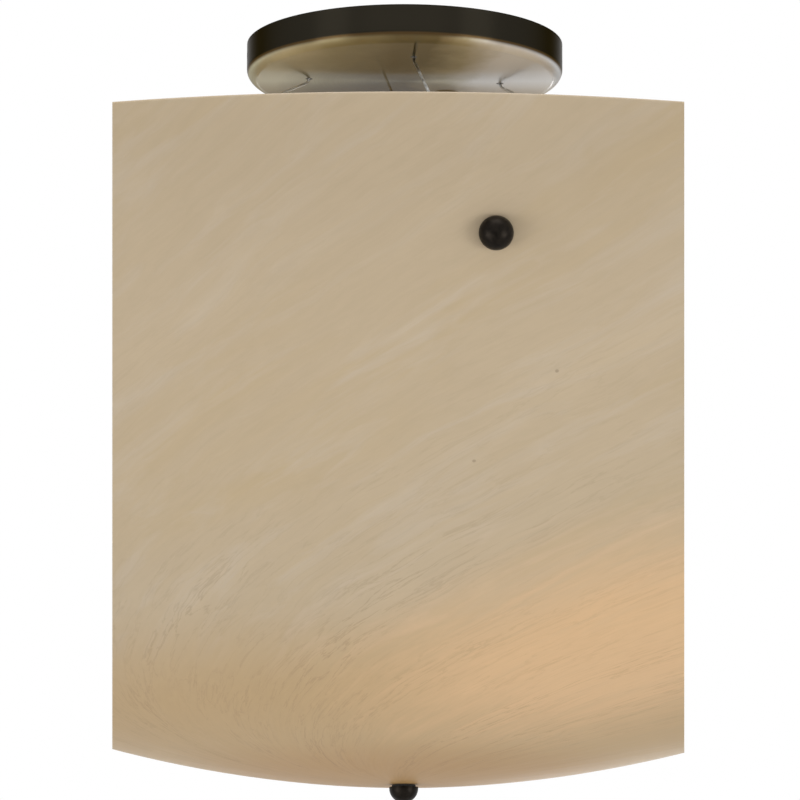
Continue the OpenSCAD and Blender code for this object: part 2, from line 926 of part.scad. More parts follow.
module bulb_cap_1() { bulb_cap(0); }
module bulb_cap_2() { bulb_cap(1); }
module bulb_cap_3() { bulb_cap(2); }
module bulb_cap_4() { bulb_cap(3); }
module bulb_cap_5() { bulb_cap(4); }
module bulb_cap_6() { bulb_cap(5); }

// Radius of the glass between neck and ball, a smooth blend of both
function blend(t) = 3 * t * t - 2 * t * t * t;
function swell(t) = t * t * t - t * t;
function glass_profile(wall) = concat(
    [for (i = [0:neck_steps - 1])
        let (t = i / neck_steps)
        [neck_d / 2 + (join_r - neck_d / 2) * blend(t)
            + blend_l * swell(t) / tan(join_angle) - wall, blend_l * t]],
    [for (i = [0:ball_steps])
        let (a = (180 - join_angle) * (1 - i / ball_steps))
        [(glass_r - wall) * sin(a), ball_z + (glass_r - wall) * cos(a)]]
);

// Hollow frosted glass, standing on its cap
module bulb_glass(k) {
    inner = glass_profile(glass_t);
    last = len(inner) - 1;
    color(frosted)
    at_lamp(k)
        translate([0, 0, glass_start])
            rotate_extrude()
                polygon(concat(glass_profile(0), [for (i = [last:-1:0]) inner[i]]));
}

module bulb_glass_1() { bulb_glass(0); }
module bulb_glass_2() { bulb_glass(1); }
module bulb_glass_3() { bulb_glass(2); }
module bulb_glass_4() { bulb_glass(3); }
module bulb_glass_5() { bulb_glass(4); }
module bulb_glass_6() { bulb_glass(5); }

mounting_plate();
ground_screw();
canopy();
canopy_set_screws();
canopy_cord_gland();
canopy_gland_nut();
cable_bushings();
cable_stops();
cable_front();
cable_right();
cable_back();
cable_left();
cable_terminals();
inner_washers();
outer_washers();
bowl();
knob_front();
knob_right();
knob_back();
knob_left();
bowl_gasket();
seat_plate();
centre_stud();
centre_nut();
finial_washer();
finial();
cluster_body();
cluster_cover();
cover_screws();
cluster_cord_gland();
cluster_gland_nut();
terminal_block();
terminal_screws();
lamp_leads();
lamp_arms();
arm_nuts();
lampholder_1();
lampholder_2();
lampholder_3();
lampholder_4();
lampholder_5();
lampholder_6();
screw_shells();
lamp_contacts();
bulb_cap_1();
bulb_cap_2();
bulb_cap_3();
bulb_cap_4();
bulb_cap_5();
bulb_cap_6();
bulb_glass_1();
bulb_glass_2();
bulb_glass_3();
bulb_glass_4();
bulb_glass_5();
bulb_glass_6();
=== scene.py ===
import json
import math

import bmesh
import bpy
from mathutils import Matrix, Vector


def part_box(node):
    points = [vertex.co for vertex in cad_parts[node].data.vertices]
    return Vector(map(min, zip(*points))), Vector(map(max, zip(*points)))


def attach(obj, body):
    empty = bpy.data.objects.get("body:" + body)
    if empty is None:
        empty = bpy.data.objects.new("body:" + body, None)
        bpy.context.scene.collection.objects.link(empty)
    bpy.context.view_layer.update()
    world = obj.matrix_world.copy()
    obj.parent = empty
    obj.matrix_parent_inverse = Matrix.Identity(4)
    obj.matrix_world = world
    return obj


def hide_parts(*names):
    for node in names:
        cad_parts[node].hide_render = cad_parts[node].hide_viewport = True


# Lengths are in metres unless a note says millimetres, and the ceiling is at a height of 0
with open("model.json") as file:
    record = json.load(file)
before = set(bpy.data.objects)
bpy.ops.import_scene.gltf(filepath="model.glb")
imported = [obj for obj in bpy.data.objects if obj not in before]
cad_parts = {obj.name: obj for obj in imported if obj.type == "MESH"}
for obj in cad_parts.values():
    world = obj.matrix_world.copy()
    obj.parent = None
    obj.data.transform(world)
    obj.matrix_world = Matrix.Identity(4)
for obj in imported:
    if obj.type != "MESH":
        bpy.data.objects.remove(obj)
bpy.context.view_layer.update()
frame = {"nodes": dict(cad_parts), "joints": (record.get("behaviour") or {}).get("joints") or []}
nodes = frame["nodes"]
joints = {joint["name"]: joint for joint in frame["joints"]}
sides = ["front", "right", "back", "left"]
lampNumbers = range(1, 7)
mm = 0.001
mergeDistance = 0.001 * mm
creaseDegrees = 35              # edges sharper than this are shaded as corners
bpy.context.scene.view_settings.view_transform = "Standard"
print("stage: frame loaded,", len(nodes), "nodes")

# Camera: low in front of the lamp, looking up past the bowl's wall at the canopy's face
cameraView = {
    "side": -0.00235, "distance": 2.2894, "height": -0.60714,
    "pitchDegrees": 10.015, "rollDegrees": 0.086,
    "lens": 188.16, "nearest": 4 * mm, "farthest": 100,
}


def addObject(name, data):
    made = bpy.data.objects.new(name, data)
    bpy.context.scene.collection.objects.link(made)
    return made


def addCamera(view):
    data = bpy.data.cameras.new("mainCamera")
    data.lens = view["lens"]
    data.clip_start = view["nearest"]
    data.clip_end = view["farthest"]
    camera = addObject("mainCamera", data)
    turn = Matrix.Rotation(math.radians(90 + view["pitchDegrees"]), 4, "X")     # 90 is level
    roll = Matrix.Rotation(math.radians(view["rollDegrees"]), 4, "Z")
    place = Matrix.Translation((view["side"], -view["distance"], view["height"]))
    camera.matrix_world = place @ turn @ roll
    bpy.context.scene.camera = camera
    return camera


mainCamera = addCamera(cameraView)
print("stage: camera")


# sRGB hex to linear
def linearColour(hexText, alpha=1.0):
    channels = [int(hexText[i:i + 2], 16) / 255 for i in (1, 3, 5)]
    linear = [c / 12.92 if c <= 0.04045 else ((c + 0.055) / 1.055) ** 2.4 for c in channels]
    return (*linear, alpha)


# A node given as an input is linked from its first live output, and hex text is a colour
def setInputs(tree, node, inputs):
    for socket, value in inputs.items():
        if isinstance(value, bpy.types.Node):
            value = next(output for output in value.outputs if output.enabled)
        if isinstance(value, bpy.types.NodeSocket):
            tree.links.new(value, node.inputs[socket])
        elif isinstance(value, str):
            node.inputs[socket].default_value = linearColour(value)
        else:
            node.inputs[socket].default_value = value


# The inputs of a colour Mix are 0 for its factor, then 6 and 7
def addNode(tree, kind, inputs=None, stops=None, **settings):
    node = tree.nodes.new("ShaderNode" + kind)
    for name, value in settings.items():
        setattr(node, name, value)
    setInputs(tree, node, inputs or {})
    for i, (position, colour) in enumerate(stops or []):
        element = node.color_ramp.elements[i] if i < 2 else node.color_ramp.elements.new(position)
        element.position = position
        element.color = linearColour(colour)
    return node


def emptyTree(owner):
    owner.use_nodes = True
    owner.node_tree.nodes.clear()
    return owner.node_tree


def startMaterial(name, **constants):
    material = bpy.data.materials.new(name)
    tree = emptyTree(material)
    shader = addNode(tree, "BsdfPrincipled", {k.replace("_", " "): v for k, v in constants.items()})
    addNode(tree, "OutputMaterial", {"Surface": shader})
    place = addNode(tree, "TexCoord").outputs["Object"]
    return material, tree, shader, place


# The scale that gives a noise features of this real size
def perMetre(millimetres):
    return 1000 / millimetres


def finishPiece(name, mesh, material, smooth=True, sharpDegrees=creaseDegrees):
    data = bpy.data.meshes.new(name)
    mesh.to_mesh(data)
    mesh.free()
    data.materials.append(material)
    data.polygons.foreach_set("use_smooth", [smooth] * len(data.polygons))
    if smooth:
        data.set_sharp_from_angle(angle=math.radians(sharpDegrees))
    return addObject(name, data)


def standFor(piece, body, slotName, *nodeNames):
    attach(piece, body)
    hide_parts(*nodeNames)


# Spins a profile of (radius, height) points round the Z axis
def spunMesh(profile, steps):
    mesh = bmesh.new()
    verts = [mesh.verts.new((r, 0, z)) for r, z in profile]
    edges = [mesh.edges.new(pair) for pair in zip(verts, verts[1:] + verts[:1])]
    bmesh.ops.spin(mesh, geom=verts + edges, cent=(0, 0, 0), axis=(0, 0, 1),
                   angle=2 * math.pi, steps=steps, use_merge=True)
    bmesh.ops.remove_doubles(mesh, verts=mesh.verts, dist=mergeDistance)
    bmesh.ops.recalc_face_normals(mesh, faces=mesh.faces)
    return mesh


def alongAxis(start, direction):
    turn = Vector(direction).normalized().to_track_quat("Z", "Y").to_matrix().to_4x4()
    return Matrix.Translation(start) @ turn


# Studio: white surroundings, a pale floor, soft lamps in front and overhead, two small ones behind
studio = {
    "floorDrop": 2.4, "floorSize": 40.0, "floorRoughness": 0.9, "floorLift": 0.25,
    "floorTones": [(0.3, "#f2f1ef"), (0.7, "#f6f5f3")],
    "floorPatch": 1000 / 3,     # mm
    "worldDiffuse": 0.45, "worldSeen": 1.0,
    "lamps": [
        {"name": "softLeft", "place": (-2.9, -2.2, -1.3), "size": 1.6, "watts": 47},
        {"name": "softRight", "place": (2.9, -2.2, -1.3), "size": 1.6, "watts": 49.5},
        {"name": "backLeft", "place": (-0.34, 3.4, -0.62), "size": 0.4, "watts": 0.5},
        {"name": "backRight", "place": (0.34, 3.4, -0.62), "size": 0.4, "watts": 1.6},
        {"name": "overhead", "place": (0.0, -0.6, 2.4), "size": 2.0, "watts": 60},
    ],
    "target": (0, 0, -0.25),
}


# One for the rays that show the background: the camera's, and those that metal and glass send on
def seenRays(tree):
    rays = addNode(tree, "LightPath")
    direct = addNode(tree, "Math", {0: rays.outputs["Is Camera Ray"],
                                    1: rays.outputs["Is Transmission Ray"]}, operation="MAXIMUM")
    return addNode(tree, "Math", {0: direct, 1: rays.outputs["Is Glossy Ray"]},
                   operation="MAXIMUM")


# Painted studio floor: pale and matt, lifted where the camera, metal or glass shows it
def paleFloor(s):
    material, tree, shader, place = startMaterial(
        "paleFloor", Roughness=s["floorRoughness"], Emission_Color="#ffffff")
    grain = addNode(tree, "TexNoise", {"Vector": place, "Scale": perMetre(s["floorPatch"])})
    tone = addNode(tree, "ValToRGB", {"Fac": grain}, stops=s["floorTones"])
    glow = addNode(tree, "Math", {0: seenRays(tree), 1: s["floorLift"]}, operation="MULTIPLY")
    setInputs(tree, shader, {"Base Color": tone, "Emission Strength": glow})
    return material


def addStudio(s):
    world = bpy.data.worlds.new("paleRoom")
    bpy.context.scene.world = world
    tree = emptyTree(world)
    strength = addNode(tree, "Mix", {"Factor": seenRays(tree), "A": s["worldDiffuse"],
                                     "B": s["worldSeen"]})
    light = addNode(tree, "Background", {"Color": "#ffffff", "Strength": strength})
    addNode(tree, "OutputWorld", {"Surface": light})
    for lamp in s["lamps"]:
        data = bpy.data.lights.new(lamp["name"], "AREA")
        data.shape = "SQUARE"
        data.size = lamp["size"]
        data.energy = lamp["watts"]
        lampObject = addObject(lamp["name"], data)
        lampObject.location = lamp["place"]
        lampObject.visible_camera = False
        towards = Vector(s["target"]) - lampObject.location
        lampObject.rotation_euler = towards.to_track_quat("-Z", "Y").to_euler()
    mesh = bmesh.new()
    bmesh.ops.create_grid(mesh, x_segments=1, y_segments=1, size=s["floorSize"] / 2)
    bmesh.ops.translate(mesh, vec=(0, 0, -s["floorDrop"]), verts=mesh.verts)
    floor = finishPiece("floor", mesh, paleFloor(s), smooth=False)


addStudio(studio)

# The photograph is a strip of the bowl on white: two small white cards close to the main camera
# stand at the strip's side edges, which are given in the photograph's own pixels
photoStrip = {"left": 112.3, "right": 684.3, "width": 800, "overhang": 40,
              "cardDistance": 10 * mm}


# White card: seen by the camera only, it lights nothing and shows in no reflection
def whiteCard():
    material = bpy.data.materials.new("whiteCard")
    tree = emptyTree(material)
    glow = addNode(tree, "Emission", {"Color": "#ffffff", "Strength": 1.0})
    addNode(tree, "OutputMaterial", {"Surface": glow})
    return material


def addSideCards(strip, camera):
    pixel = strip["cardDistance"] * camera.data.sensor_width / camera.data.lens / strip["width"]
    height = strip["width"] + 2 * strip["overhang"]
    spans = {"cardLeft": (-strip["overhang"], strip["left"]),
             "cardRight": (strip["right"], strip["width"] + strip["overhang"])}
    material = whiteCard()
    for name, (start, end) in spans.items():
        middle = (start + end) / 2 - strip["width"] / 2
        mesh = bmesh.new()
        bmesh.ops.create_grid(mesh, x_segments=1, y_segments=1, size=0.5)       # one unit wide
        bmesh.ops.scale(mesh, vec=((end - start) * pixel, height * pixel, 1), verts=mesh.verts)
        bmesh.ops.translate(mesh, vec=(middle * pixel, 0, -strip["cardDistance"]), verts=mesh.verts)
        bmesh.ops.transform(mesh, matrix=camera.matrix_world, verts=mesh.verts)
        card = finishPiece(name, mesh, material, smooth=False)
        card.visible_diffuse = False
        card.visible_glossy = False
        card.visible_transmission = False
        card.visible_shadow = False


addSideCards(photoStrip, mainCamera)
print("stage: studio")

# Bowl: the veins climb to the right, and the lower right of the front is a warmer cloud; the low
# and bottom layers are painted shade, darker towards the bottom.
# Each range goes to its MapRange as it stands
bowlLook = {
    "veinClimb": -2.4,          # radians of turn for each metre down the wall
    "veinRadius": 0.4,          # radius at which the sizes below are true
    "veinStretch": 0.3,         # less draws every pattern out further along the veins
    "strokeStretch": 0.5,       # and the thin veins further again
    "drift": 20 * mm, "driftSize": 80,
    # Each noise that follows the veins: size in millimetres, detail, roughness, distortion
    "noises": {"cloud": (95, 5.0, 0.55, 0.6), "wisp": (27, 6.0, 0.6, 0.9),
               "stroke": (12, 5.0, 0.6, 0.35), "scratch": (5, 3.0, 0.6, 0.0)},
    "clouds": [(0.3, "#b8a484"), (0.5, "#b9a78c"), (0.72, "#bdab90")],
    # Layers over the clouds, from the first to the last
    "veil": "#c0b29f", "veilRange": {"From Min": 0.5, "From Max": 0.78, "To Max": 0.75},
    # Painted shade: darker low on the wall, where it turns to face down
    "low": "#b5976a", "lowRange": {"From Min": -0.345, "From Max": -0.39, "To Max": 0.85},
    "warm": "#d6b287", "warmRange": {"From Min": 0.9, "From Max": -0.1, "To Max": 0.95},
    # Painted shade: a darker band at the very bottom
    "bottomShade": "#ab8655", "bottomShadeRange": {"From Min": -0.401, "From Max": -0.414, "To Max": 0.9},
    "warmPlace": (0.114, -0.22, -0.374), "warmSize": (0.155, 0.12, 0.104), "warmTurn": -23,
    "warmFray": 0.7,
    "vein": "#e7e4e1", "veinRange": {"From Max": 0.028, "To Min": 1.0, "To Max": 0.0},
    "veinHeights": {"From Min": -0.24, "From Max": -0.37, "To Min": 0.15},
    "veinPatches": {"From Min": 0.4, "From Max": 0.65},
    "speck": "#5c4d3c", "specks": [(0.0322, -0.3657, -0.2962), (0.0698, -0.3991, -0.2597)],
    "speckRange": {"From Min": 0.6 * mm, "From Max": 1.1 * mm, "To Min": 0.35, "To Max": 0.0},
    "grainRange": {"From Min": 0.3, "From Max": 0.7, "To Min": 0.975, "To Max": 1.02},
    "satinRange": {"To Min": 0.36, "To Max": 0.5},
    "bumpHeight": 0.4 * mm, "bumpStrength": 0.08,
}


# Faux alabaster, cast acrylic resin: clouded, faintly translucent, polished to a satin
def alabaster(look):
    material, tree, shader, place = startMaterial(
        "fauxAlabaster", IOR=1.49, Specular_IOR_Level=0.2)
    # Every point is turned round the bowl by its way down the wall, so the noises wind round it
    apart = addNode(tree, "SeparateXYZ", {"Vector": place})
    height = apart.outputs["Z"]
    level = addNode(tree, "CombineXYZ", {"X": apart.outputs["X"], "Y": apart.outputs["Y"]})
    reach = addNode(tree, "VectorMath", {0: level}, operation="LENGTH")
    down = addNode(tree, "Math", {0: height, 1: reach}, operation="ADD")
    twist = addNode(tree, "Math", {0: down, 1: look["veinClimb"]}, operation="MULTIPLY")
    outward = addNode(tree, "VectorMath", {0: level}, operation="NORMALIZE")
    circle = addNode(tree, "VectorMath", {0: outward, "Scale": look["veinRadius"]},
                     operation="SCALE")
    wound = addNode(tree, "VectorRotate", {"Vector": circle, "Angle": twist},
                    rotation_type="Z_AXIS")
    lengthwise = addNode(tree, "Math", {0: down, 1: look["veinStretch"]}, operation="MULTIPLY")
    upward = addNode(tree, "CombineXYZ", {"Z": lengthwise})
    straight = addNode(tree, "VectorMath", {0: wound, 1: upward}, operation="ADD")
    drift = addNode(tree, "TexNoise", {"Vector": place, "Scale": perMetre(look["driftSize"]),
                                       "Detail": 3.0, "Roughness": 0.5})
    sway = addNode(tree, "VectorMath", {0: drift.outputs["Color"], "Scale": look["drift"]},
                   operation="SCALE")
    along = addNode(tree, "VectorMath", {0: straight, 1: sway}, operation="ADD")
    drawn = addNode(tree, "Mapping", {"Vector": along, "Scale": (1, 1, look["strokeStretch"])})
    noises = {}
    for name, (size, detail, roughness, distortion) in look["noises"].items():
        noises[name] = addNode(tree, "TexNoise", {
            "Vector": drawn if name == "stroke" else along, "Scale": perMetre(size),
            "Detail": detail, "Roughness": roughness, "Distortion": distortion})

    warmPlace = addNode(tree, "Mapping", {"Vector": place, "Location": look["warmPlace"],
                                          "Rotation": (0, 0, math.radians(look["warmTurn"])),
                                          "Scale": look["warmSize"]}, vector_type="TEXTURE")
    warmBall = addNode(tree, "VectorMath", {0: warmPlace}, operation="LENGTH")
    warmEdge = addNode(tree, "Math", {0: noises["wisp"], 1: look["warmFray"]},
                       operation="MULTIPLY")
    warmReach = addNode(tree, "Math", {0: warmBall, 1: warmEdge}, operation="SUBTRACT")
    tone = addNode(tree, "ValToRGB", {"Fac": noises["cloud"]}, stops=look["clouds"])
    # The low and bottom layers are painted shade
    for layer, driver, fade in (("veil", noises["wisp"], "LINEAR"), ("low", height, "SMOOTHSTEP"),
                                ("warm", warmReach, "SMOOTHSTEP"),
                                ("bottomShade", height, "SMOOTHSTEP")):
        share = addNode(tree, "MapRange", {"Value": driver, **look[layer + "Range"]},
                        interpolation_type=fade)
        tone = addNode(tree, "Mix", {0: share, 6: tone, 7: look[layer]}, data_type="RGBA")

    # A thin vein runs where its noise passes the middle value, mostly low on the bowl
    offset = addNode(tree, "Math", {0: noises["stroke"], 1: 0.5}, operation="SUBTRACT")
    offset = addNode(tree, "Math", {0: offset}, operation="ABSOLUTE")
    share = addNode(tree, "MapRange", {"Value": offset, **look["veinRange"]})
    for driver, limits in ((height, look["veinHeights"]), (noises["cloud"], look["veinPatches"])):
        where = addNode(tree, "MapRange", {"Value": driver, **limits})
        share = addNode(tree, "Math", {0: share, 1: where}, operation="MULTIPLY")
    tone = addNode(tree, "Mix", {0: share, 6: tone, 7: look["vein"]}, data_type="RGBA",
                   blend_type="MULTIPLY")
    for speck in look["specks"]:
        away = addNode(tree, "VectorMath", {0: place, 1: speck}, operation="DISTANCE")
        share = addNode(tree, "MapRange", {"Value": away, **look["speckRange"]})
        tone = addNode(tree, "Mix", {0: share, 6: tone, 7: look["speck"]}, data_type="RGBA")
    grain = addNode(tree, "MapRange", {"Value": noises["scratch"], **look["grainRange"]})
    grained = addNode(tree, "VectorMath", {0: tone, "Scale": grain}, operation="SCALE")
    satin = addNode(tree, "MapRange", {"Value": noises["wisp"], **look["satinRange"]})
    bump = addNode(tree, "Bump", {"Height": noises["wisp"], "Strength": look["bumpStrength"],
                                  "Distance": look["bumpHeight"]})
    setInputs(tree, shader, {"Base Color": grained, "Roughness": satin, "Normal": bump})
    return material


bowl = {"wall": 4 * mm, "fullness": 1.88, "profileSteps": 64, "turnSteps": 256,
        "rimRound": 1.3 * mm, "rimSteps": 3, "rimFinder": 0.01 * mm,
        "holeRadius": 3.75 * mm, "holeDepth": 20 * mm, "holeSteps": 48}


# The wall from the rim to the middle hole: an ellipse at a fullness of 2, straighter below that
def wallCurve(radius, depth, b):
    points = []
    for i in range(b["profileSteps"] + 1):
        a = math.pi / 2 * i / b["profileSteps"]
        r = radius * math.cos(a) ** (2 / b["fullness"])
        if r > b["holeRadius"]:
            points.append((r, -depth * math.sin(a) ** (2 / b["fullness"])))
    share = (b["holeRadius"] / radius) ** b["fullness"]
    return points + [(b["holeRadius"], -depth * (1 - share) ** (1 / b["fullness"]))]


def makeBowl(b, material):
    low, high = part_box("bowl")
    radius, rimZ, depth = high.x, high.z, high.z - low.z
    outer = wallCurve(radius, depth, b)
    inner = wallCurve(radius - b["wall"], depth - b["wall"], b)
    mesh = spunMesh([(r, rimZ + z) for r, z in outer + inner[::-1]], b["turnSteps"])
    rim = [e for e in mesh.edges if all(abs(v.co.z - rimZ) < b["rimFinder"] for v in e.verts)
           and abs(e.verts[0].co.xy.length - e.verts[1].co.xy.length) < b["rimFinder"]]
    bmesh.ops.bevel(mesh, geom=rim, offset=b["rimRound"], segments=b["rimSteps"], profile=0.5,
                    affect="EDGES", material=-1)
    bmesh.ops.recalc_face_normals(mesh, faces=mesh.faces)
    piece = finishPiece("alabasterBowl", mesh, material)
    cutters = []
    for side in sides:
        joint = joints[f"knob_{side}_turn"]
        drill = bmesh.new()
        bmesh.ops.create_cone(drill, cap_ends=True, segments=b["holeSteps"],
                              radius1=b["holeRadius"], radius2=b["holeRadius"],
                              depth=b["holeDepth"], matrix=alongAxis(joint["pos_m"], joint["axis"]))
        cutter = finishPiece(f"drill_{side}", drill, material)
        cut = piece.modifiers.new(f"hole_{side}", "BOOLEAN")
        cut.object = cutter
        cut.solver = "EXACT"
        cutters.append(cutter)
    evaluated = piece.evaluated_get(bpy.context.evaluated_depsgraph_get())
    drilled = bpy.data.meshes.new_from_object(evaluated)
    piece.modifiers.clear()
    piece.data = drilled
    for cutter in cutters:
        bpy.data.objects.remove(cutter)
    drilled.set_sharp_from_angle(angle=math.radians(creaseDegrees))
    standFor(piece, "root", "alabaster_acrylic", "bowl")


makeBowl(bowl, alabaster(bowlLook))
print("stage: bowl")

# Cables: six wires laid round a seventh, one upright end, one bend, then straight to the bowl
cable = {"radius": 0.8 * mm, "circleRadius": 54 * mm, "bendRadius": 3 * mm, "lay": 13 * mm,
         "outerWires": 6, "stepsPerLay": 12, "bendSteps": 16, "roundSteps": 1, "creaseDegrees": 60,
         "tones": [(0.35, "#a9aaa8"), (0.7, "#d3d4d2")], "rough": (0.25, 0.42), "dullSize": 6}


# The cable's middle line, and the level direction across it
def cablePath(c, side):
    direction = Vector(joints[f"knob_{side}_turn"]["axis"])
    slope = math.asin(-direction.z)
    outward = Vector((direction.x, direction.y, 0)).normalized()
    low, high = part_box(f"cable_{side}")
    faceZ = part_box("canopy")[0].z
    centre = outward * (c["circleRadius"] + c["bendRadius"]) + Vector((0, 0, faceZ))
    points = [outward * c["circleRadius"] + Vector((0, 0, high.z))]
    for i in range(c["bendSteps"] + 1):
        a = (math.pi / 2 - slope) * i / c["bendSteps"]
        points.append(centre - c["bendRadius"] * (outward * math.cos(a)
                                                  + Vector((0, 0, math.sin(a)))))
    endZ = low.z + c["radius"] * math.cos(slope)
    points.append(points[-1] + direction * ((endZ - points[-1].z) / direction.z))
    return points, outward.cross(Vector((0, 0, 1)))


# Points at equal steps along a path, each with its distance from the start
def evenPoints(points, step):
    lengths = [0.0]
    for a, b in zip(points, points[1:]):
        lengths.append(lengths[-1] + (b - a).length)
    count = round(lengths[-1] / step)
    found, leg = [], 0
    for i in range(count + 1):
        along = lengths[-1] * i / count
        while leg < len(points) - 2 and along > lengths[leg + 1]:
            leg += 1
        share = (along - lengths[leg]) / (lengths[leg + 1] - lengths[leg])
        found.append((along, points[leg].lerp(points[leg + 1], share)))
    return found


def makeCable(c, side, material):
    corners, across = cablePath(c, side)
    path = evenPoints(corners, c["lay"] / c["stepsPerLay"])
    wire = c["radius"] / 3
    curve = bpy.data.curves.new(f"wires_{side}", "CURVE")
    curve.dimensions = "3D"
    curve.bevel_depth = wire
    curve.bevel_resolution = c["roundSteps"]
    curve.use_fill_caps = True
    for k in range(c["outerWires"] + 1):
        off = 2 * wire if k else 0.0
        spline = curve.splines.new("POLY")
        spline.points.add(len(path) - 1)
        for i, (along, point) in enumerate(path):
            ahead = path[min(i + 1, len(path) - 1)][1] - path[max(i - 1, 0)][1]
            upward = ahead.normalized().cross(across)
            a = 2 * math.pi * (along / c["lay"] + k / c["outerWires"])
            place = point + off * (across * math.cos(a) + upward * math.sin(a))
            spline.points[i].co = (*place, 1)
    holder = addObject(f"wires_{side}", curve)
    made = holder.evaluated_get(bpy.context.evaluated_depsgraph_get())
    mesh = bmesh.new()
    mesh.from_mesh(bpy.data.meshes.new_from_object(made))
    bpy.data.objects.remove(holder)
    piece = finishPiece(f"strandedCable_{side}", mesh, material, sharpDegrees=c["creaseDegrees"])
    standFor(piece, "root", "steel_cable", f"cable_{side}")


# Stainless steel wire: drawn bright, a little dulled by handling
def stainlessWire(c):
    material, tree, shader, place = startMaterial("stainlessWire", Metallic=1.0)
    dull = addNode(tree, "TexNoise", {"Vector": place, "Scale": perMetre(c["dullSize"]),
                                      "Detail": 3.0})
    tone = addNode(tree, "ValToRGB", {"Fac": dull}, stops=c["tones"])
    rough = addNode(tree, "MapRange", {"Value": dull, "To Min": c["rough"][0],
                                       "To Max": c["rough"][1]})
    setInputs(tree, shader, {"Base Color": tone, "Roughness": rough})
    return material


wireMaterial = stainlessWire(cable)
for side in sides:
    makeCable(cable, side, wireMaterial)
print("stage: cables")

# Bulbs: smooth glass, a short neck that swells into a ball
bulb = {"start": 59.5 * mm, "neckRadius": 13.2 * mm, "ballRadius": 30 * mm, "length": 80 * mm,
        "joinDegrees": 53, "neckSteps": 20, "ballSteps": 40, "turnSteps": 64, "wall": 0.8 * mm,
        "tones": [(0.3, "#e9e4d8"), (0.7, "#f3f0e8")], "powderSize": 14,
        "scatter": (4 * mm, 3.6 * mm, 3 * mm)}


# The neck swells on a cubic that meets the ball at the ball's own slope
def bulbProfile(b, wall):
    join = math.radians(b["joinDegrees"])
    ballZ = b["length"] - b["ballRadius"]
    blendLength = ballZ - b["ballRadius"] * math.cos(join)
    rise = b["ballRadius"] * math.sin(join) - b["neckRadius"]
    points = []
    for i in range(b["neckSteps"]):
        t = i / b["neckSteps"]
        blend = t * t * (3 - 2 * t)
        swell = t * t * (t - 1)
        r = b["neckRadius"] + rise * blend + blendLength * swell / math.tan(join)
        points.append((r - wall, blendLength * t))
    for i in range(b["ballSteps"] + 1):
        a = (math.pi - join) * (1 - i / b["ballSteps"])
        points.append(((b["ballRadius"] - wall) * math.sin(a),
                       ballZ + (b["ballRadius"] - wall) * math.cos(a)))
    return points


# Soft-white glass: clear glass with a powder coat inside, so it is white with a gloss outside
def softWhiteGlass(b):
    material, tree, shader, place = startMaterial(
        "softWhiteGlass", Roughness=0.28, IOR=1.52, Subsurface_Weight=0.25,
        Subsurface_Radius=b["scatter"])
    powder = addNode(tree, "TexNoise", {"Vector": place, "Scale": perMetre(b["powderSize"]),
                                        "Detail": 4.0})
    tone = addNode(tree, "ValToRGB", {"Fac": powder}, stops=b["tones"])
    setInputs(tree, shader, {"Base Color": tone})
    return material


def makeBulbGlass(b, number, material):
    joint = joints[f"bulb_{number}_screw"]
    mesh = spunMesh(bulbProfile(b, 0) + bulbProfile(b, b["wall"])[::-1], b["turnSteps"])
    place = alongAxis(joint["pos_m"], joint["axis"]) @ Matrix.Translation((0, 0, b["start"]))
    bmesh.ops.transform(mesh, matrix=place, verts=mesh.verts)
    piece = finishPiece(f"bulbGlass_{number}", mesh, material)
    standFor(piece, f"bulb_{number}", "frosted_glass", f"bulb_glass_{number}")


glassMaterial = softWhiteGlass(bulb)
for number in lampNumbers:
    makeBulbGlass(bulb, number, glassMaterial)
print("stage: bulbs")

# Canopy: the face's painted reflection goes from its left to its right, and heights are above the
# face
canopyLook = {
    # Painted shade: the wall's dark colour
    "wall": "#2c2922", "edge": "#5c4a30", "grazing": "#b0aeab",
    # Painted reflection: the face's tones from left to right stand for the lamps and the bowl seen
    # in the brushed metal
    "paintedReflection": [(0.06, "#dcd6b8"), (0.25, "#a49c7a"), (0.42, "#827a5d"), (0.53, "#7e775a"),
               (0.63, "#b8b193"), (0.76, "#f6f8fa")],
    "reflectionSkew": 0.1, "reflectionReach": 84 * mm, "reflectionSway": 0.12, "reflectionSize": 45,
    # Painted reflection too: browner towards the back and darker in the middle
    "backReflection": "#ad976a", "backReflectionEnd": 45 * mm,
    "middleStart": 88 * mm, "middleEnd": 40 * mm, "middleDark": 0.8,
    "edgeStart": 5.6 * mm, "edgeEnd": 4.4 * mm, "faceStart": 2.4 * mm,
    "lacquer": 0.4, "lacquerEnd": 0.15 * mm,
    "rough": (0.3, 0.42), "ringSize": 0.7, "ringHeight": 0.05 * mm, "ringStrength": 0.05,
}
